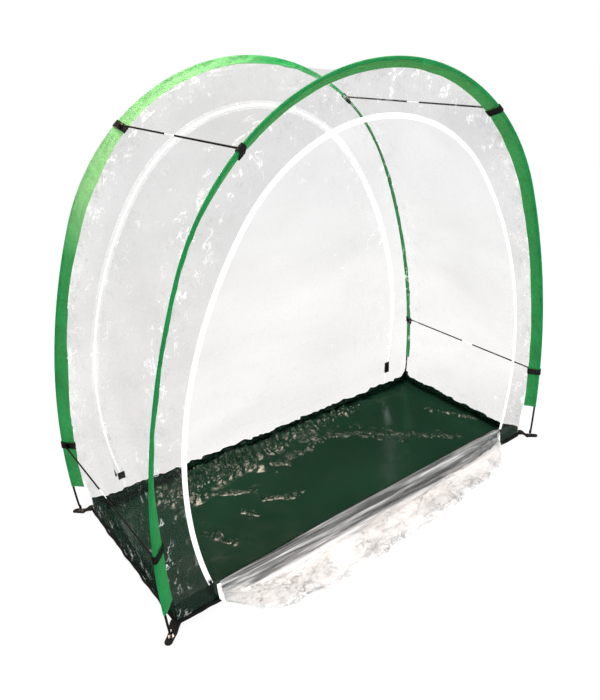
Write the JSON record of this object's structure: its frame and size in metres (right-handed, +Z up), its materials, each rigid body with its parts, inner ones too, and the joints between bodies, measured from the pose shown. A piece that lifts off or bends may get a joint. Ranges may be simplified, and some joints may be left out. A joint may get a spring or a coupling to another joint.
{
  "type": "pop up greenhouse",
  "caption": "Low pop up tunnel greenhouse: arched rods in fabric sleeves hold a clear film skin over a tray groundsheet, with zipped arch doors at front and rear.",
  "frame": {"origin": "centre of the groundsheet's underside", "axes": "+X along the long side, +Y from the open front door to the closed rear door, +Z up"},
  "size_m": [1.5474, 0.8312, 1.3632],
  "materials": {
    "film": "clear crinkled glossy film",
    "groundsheet": "shiny creased sheet",
    "sleeve": "woven, slightly translucent",
    "webbing": "woven webbing",
    "cord": "braided elastic",
    "zip_tape": "woven tape",
    "rod": "smooth fibreglass",
    "steel": "plated",
    "snap": "antique"
  },
  "bodies": {
    "base": {"groundsheet": "groundsheet", "floor_binding": "webbing", "roof_film": "film", "rear_panel": "film", "rear_zip_tape": "zip_tape", "rear_rod": "rod", "rear_sleeve": "sleeve", "rear_rod_tip_left": "steel", "rear_rod_tip_right": "steel", "rear_eyelet_left": "steel", "rear_eyelet_right": "steel", "rear_corner_tab_left": "webbing", "rear_corner_tab_right": "webbing", "rear_loop_lower_left": "webbing", "rear_loop_lower_right": "webbing", "rear_loop_upper_left": "webbing", "rear_loop_upper_right": "webbing", "rear_snap_lower_left": "snap", "rear_snap_lower_right": "snap", "rear_snap_upper_left": "snap", "rear_snap_upper_right": "snap", "cross_cord_lower_left": "cord", "cross_cord_lower_right": "cord", "cross_cord_upper_left": "cord", "cross_cord_upper_right": "cord", "rear_zip_patch_left": "webbing", "rear_zip_patch_right": "webbing"},
    "front_arch": {"front_panel": "film", "front_zip_tape": "zip_tape", "front_rod": "rod", "front_sleeve": "sleeve", "front_rod_tip_left": "steel", "front_rod_tip_right": "steel", "front_eyelet_left": "steel", "front_eyelet_right": "steel", "front_corner_tab_left": "webbing", "front_corner_tab_right": "webbing", "front_loop_lower_left": "webbing", "front_loop_lower_right": "webbing", "front_loop_upper_left": "webbing", "front_loop_upper_right": "webbing"},
    "front_door": {"front_door": "film", "front_door_zip_tape": "zip_tape"},
    "rear_door": {"rear_door": "film", "rear_door_zip_tape": "zip_tape"},
    "front_slider": {"front_zip_slider": "steel"},
    "front_pull": {"front_zip_pull": "webbing"},
    "rear_slider": {"rear_zip_slider": "steel"},
    "rear_pull": {"rear_zip_pull": "webbing"}
  },
  "joints": [
    {"name": "front_arch_slide", "type": "slide", "parent": "base", "child": "front_arch", "axis": [0, 1, 0], "range_m": [0, 0.55], "deforming": ["groundsheet", "floor_binding", "roof_film", "cross_cord_lower_left", "cross_cord_lower_right", "cross_cord_upper_left", "cross_cord_upper_right"]},
    {"name": "front_door_lift", "type": "hinge", "parent": "front_arch", "child": "front_door", "pos_m": [0, -0.302, 0.071], "axis": [-1, 0, 0], "range_deg": [0, 80]},
    {"name": "rear_door_drop", "type": "hinge", "parent": "base", "child": "rear_door", "pos_m": [0, 0.301, 0.071], "axis": [-1, 0, 0], "range_deg": [0, 88]},
    {"name": "front_slider_travel", "type": "hinge", "parent": "front_arch", "child": "front_slider", "pos_m": [0.4575, -0.305, 0.353], "axis": [0, 1, 0], "range_deg": [0, 51]},
    {"name": "front_pull_swing", "type": "hinge", "parent": "front_slider", "child": "front_pull", "pos_m": [-0.6072, -0.3082, 0.0871], "axis": [-1, 0, 0], "range_deg": [0, 100]},
    {"name": "rear_slider_travel", "type": "hinge", "parent": "base", "child": "rear_slider", "pos_m": [0.4575, 0.305, 0.353], "axis": [0, 1, 0], "range_deg": [-2.5, 48]},
    {"name": "rear_pull_swing", "type": "hinge", "parent": "rear_slider", "child": "rear_pull", "pos_m": [-0.6198, 0.3082, 0.1434], "axis": [1, 0, 0], "range_deg": [0, 100]}
  ]
}
